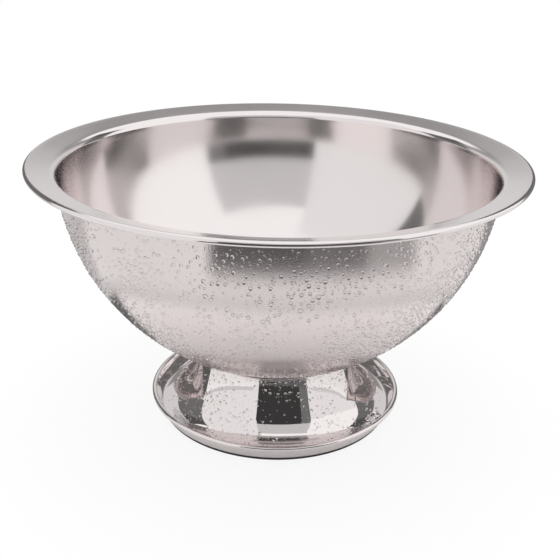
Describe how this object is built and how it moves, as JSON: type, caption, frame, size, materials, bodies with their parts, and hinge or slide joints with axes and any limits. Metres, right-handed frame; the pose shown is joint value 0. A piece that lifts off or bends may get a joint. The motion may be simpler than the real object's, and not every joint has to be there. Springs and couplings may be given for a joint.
{
  "type": "footed champagne bowl",
  "caption": "Hemispherical metal wine-cooling bowl with a wide flared rim, on a trumpet foot that turns up into a shallow drip tray.",
  "frame": {"origin": "on the table, under the middle of the foot", "axes": "+Z is the bowl's axis of symmetry, pointing up to the open mouth"},
  "size_m": [0.43, 0.43, 0.2398],
  "materials": {
    "satin_steel": "fine satin, spun round the bowl",
    "mirror_steel": "mirror polished stainless steel",
    "plated_steel": "dull machined",
    "black_rubber": "matt"
  },
  "bodies": {
    "root": {"bowl": "satin_steel", "seat_gasket": "black_rubber", "pedestal": "mirror_steel", "weld_stud": "plated_steel", "clamp_plate": "plated_steel", "flat_washer": "plated_steel", "spring_washer": "plated_steel", "hex_nut": "plated_steel", "base_ring": "black_rubber"}
  },
  "joints": []
}
